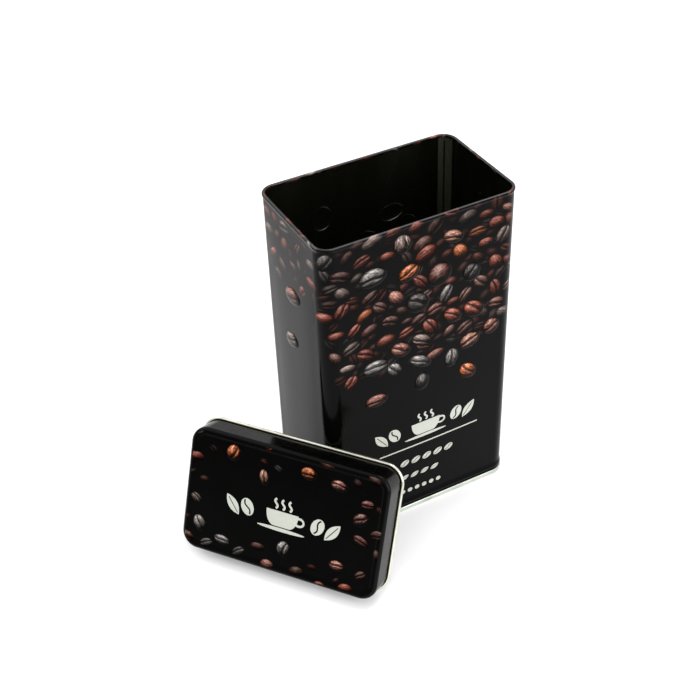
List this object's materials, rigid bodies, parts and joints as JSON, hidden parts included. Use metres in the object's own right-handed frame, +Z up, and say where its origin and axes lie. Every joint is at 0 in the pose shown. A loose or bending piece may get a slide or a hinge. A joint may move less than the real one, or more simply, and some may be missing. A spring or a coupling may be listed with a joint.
{
  "type": "coffee tin",
  "caption": "Tall rectangular tinplate coffee tin with a rolled rim, welded side seam, folded base seam, raised beans pressed into black printed walls, and a loose slip lid leaning beside it.",
  "frame": {"origin": "centre of the ring that the tin stands on, in the plane of the surface under it", "axes": "+X along the tin's long side, -Y out of the front panel, +Z up; the lid stands in front of the left corner"},
  "size_m": [0.1876, 0.1233, 0.19],
  "materials": {
    "black_print": "gloss black printed tinplate, varnished",
    "bare_tinplate": "bare bright tinplate, lightly rubbed",
    "inside_lacquer": "dark olive lacquer on the inside of the sheet"
  },
  "bodies": {
    "tin": {"body_wall": "black_print", "base_panel": "bare_tinplate"},
    "lid": {"lid": "black_print"}
  },
  "joints": [
    {"name": "lid_lift", "type": "slide", "parent": "tin", "child": "lid", "axis": [-0.2034, -0.1601, 0.9659], "range_m": [0, 0.21]}
  ]
}
